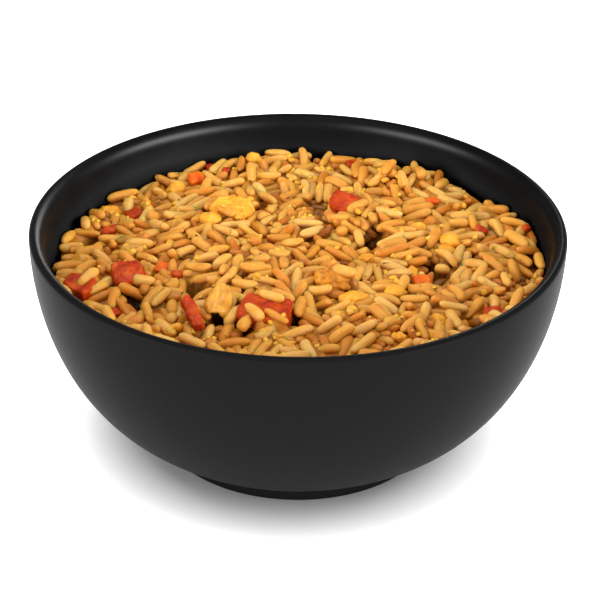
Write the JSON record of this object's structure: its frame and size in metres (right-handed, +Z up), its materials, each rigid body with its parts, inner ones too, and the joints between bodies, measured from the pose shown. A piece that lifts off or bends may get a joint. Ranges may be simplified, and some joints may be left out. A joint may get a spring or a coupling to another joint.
{
  "type": "bowl of fried rice",
  "caption": "Heap of loose fried rice with vegetable and egg pieces, served in a round black ceramic bowl on a foot ring.",
  "frame": {"origin": "centre of the foot ring's resting plane", "axes": "+Z up along the bowl's axis, -Y towards the side that the picture shows"},
  "size_m": [0.1608, 0.1608, 0.0715],
  "materials": {
    "bowl": "satin black glaze, glossier on the lip",
    "rice": "cooked rice grains, moist and slightly glossy",
    "pepper": "cooked red pepper, moist",
    "onion": "browned onion, translucent and moist",
    "egg": "scrambled egg, crumbly"
  },
  "bodies": {
    "root": {"bowl": "bowl", "rice": "rice", "pepper_front": "pepper", "pepper_left": "pepper", "pepper_back": "pepper", "pepper_rim": "pepper", "pepper_strip": "pepper", "onion_front": "onion", "egg_back_left": "egg", "egg_middle": "egg"}
  },
  "joints": []
}
